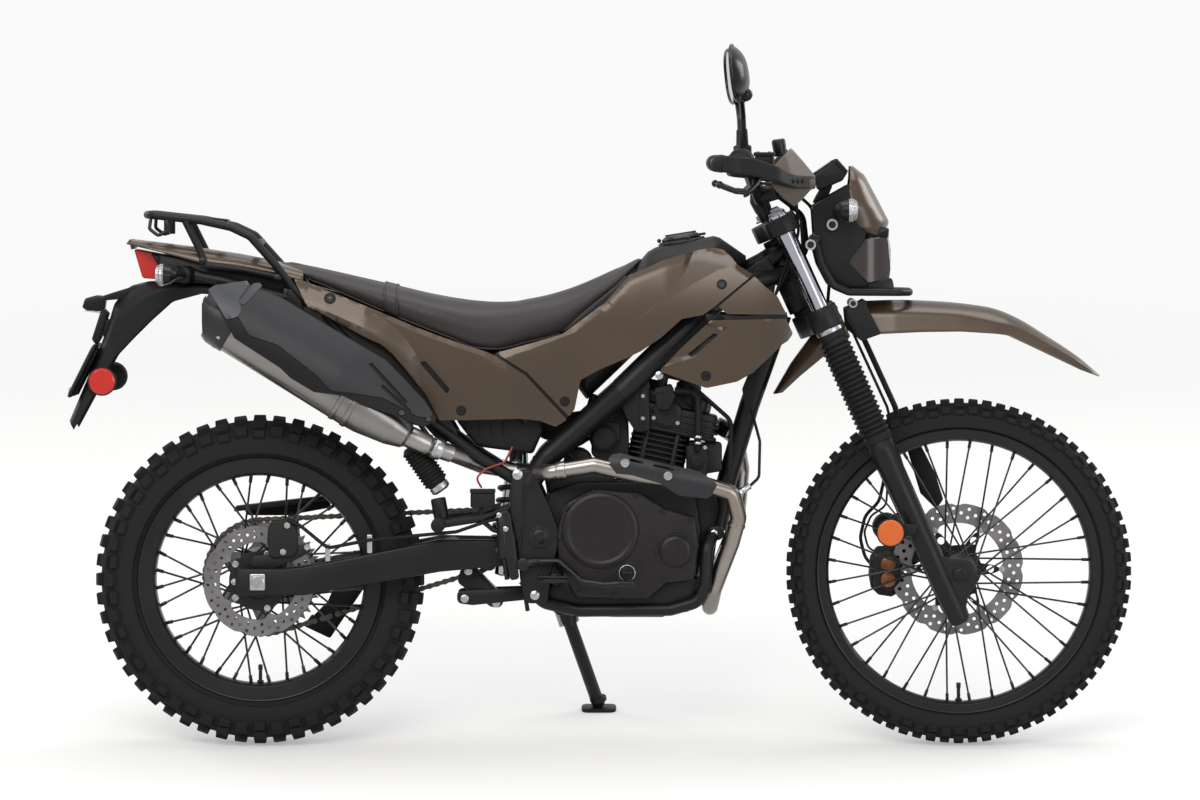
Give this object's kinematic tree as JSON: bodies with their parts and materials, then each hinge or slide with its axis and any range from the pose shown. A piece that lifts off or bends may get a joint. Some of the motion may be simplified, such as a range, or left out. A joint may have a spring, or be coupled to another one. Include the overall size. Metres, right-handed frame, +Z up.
{
  "type": "dual sport motorcycle",
  "caption": "Road and trail motorcycle with long-travel fork, open finned engine, high side muffler, luggage rack and hand guards, parked leaning on its side stand.",
  "frame": {"origin": "on the ground, at the middle of the parked bike's box", "axes": "+X forward, +Y to the rider's left, +Z up; the bike leans 10.5 degrees towards +Y on its side stand"},
  "size_m": [2.0962, 0.8424, 1.438],
  "materials": {
    "black_aluminium": "black coated casting",
    "black_metal": "satin black paint",
    "black_plastic": "moulded matt",
    "body_plastic": "bronze brown paint",
    "exhaust_steel": "warm stainless",
    "fork_metal": "polished",
    "grip_rubber": "ribbed rubber",
    "lens": "clear lens",
    "mirror_shell": "moulded matt",
    "red_lens": "red lens",
    "seat_cover": "charcoal vinyl",
    "steel": "ground steel",
    "tyre": "moulded rubber"
  },
  "bodies": {
    "frame": {"main_frame": "black_metal", "rear_subframe": "black_metal", "swingarm": "black_aluminium", "rear_suspension": "black_metal", "drive_chain": "steel", "crankcase": "black_aluminium", "engine_covers": "black_aluminium", "cylinder": "black_aluminium", "airbox": "black_plastic", "exhaust_pipe": "exhaust_steel", "heat_shields": "exhaust_steel", "muffler": "exhaust_steel", "fuel_tank": "black_plastic", "tank_panels": "body_plastic", "front_shrouds": "body_plastic", "seat": "seat_cover", "side_covers": "body_plastic", "rear_fender": "black_plastic", "rear_lamps": "red_lens", "luggage_rack": "black_metal", "skid_plate": "black_plastic", "foot_controls": "black_metal", "rear_brake": "black_aluminium"},
    "steering": {"fork_legs": "black_aluminium", "fork_tubes": "fork_metal", "fork_gaiters": "grip_rubber", "fork_clamps": "black_aluminium", "handlebar": "black_metal", "hand_controls": "grip_rubber", "hand_guards": "body_plastic", "mirrors": "mirror_shell", "headlight": "lens", "headlight_cowl": "body_plastic", "instrument": "black_plastic", "front_signals": "lens", "front_fender": "body_plastic", "front_caliper": "black_aluminium"},
    "front_wheel": {"front_tyre": "tyre", "front_rim": "black_aluminium", "front_disc": "steel"},
    "rear_wheel": {"rear_tyre": "tyre", "rear_rim": "black_aluminium", "rear_disc": "steel", "rear_sprocket": "steel"},
    "side_stand": {"side_stand": "black_metal"}
  },
  "joints": [
    {"name": "steering", "type": "hinge", "parent": "frame", "child": "steering", "pos_m": [0.37067, -0.04423, 0.9093], "axis": [-0.4115, 0.1661, 0.8961], "range_deg": [-43, 43]},
    {"name": "front_wheel_spin", "type": "hinge", "parent": "steering", "child": "front_wheel", "pos_m": [0.70662, -0.15015, 0.33779], "axis": [0, 0.9833, -0.1822], "continuous": true},
    {"name": "rear_wheel_spin", "type": "hinge", "parent": "frame", "child": "rear_wheel", "pos_m": [-0.67337, -0.15316, 0.32156], "axis": [0, 0.9833, -0.1822], "continuous": true},
    {"name": "side_stand_fold", "type": "hinge", "parent": "frame", "child": "side_stand", "pos_m": [-0.08338, -0.03011, 0.26113], "axis": [-0.1012, 0.984, 0.1468], "range_deg": [0, 105]}
  ]
}
